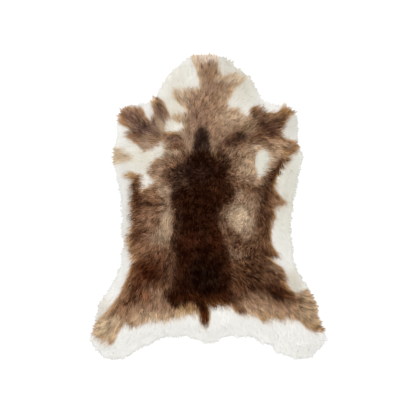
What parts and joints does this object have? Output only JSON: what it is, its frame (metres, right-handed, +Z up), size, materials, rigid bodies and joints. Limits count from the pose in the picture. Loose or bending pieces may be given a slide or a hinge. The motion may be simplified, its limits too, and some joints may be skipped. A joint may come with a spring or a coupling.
{
  "type": "reindeer hide",
  "caption": "Flat tanned hide with its hair on: dark band along the back, brown flanks and cream border, neck at one end and splayed hind legs at the other.",
  "frame": {"origin": "middle of the hide's outline on the ground it lies on", "axes": "+Z up through the hair, +Y along the back towards the neck, +X to the right as seen from above"},
  "size_m": [0.9242, 1.198, 0.034],
  "materials": {
    "brown_hair": "dense straight hair on tanned skin, matt, 30 to 40 mm long, brown with a cream border"
  },
  "bodies": {
    "root": {"hide": "brown_hair"}
  },
  "joints": []
}
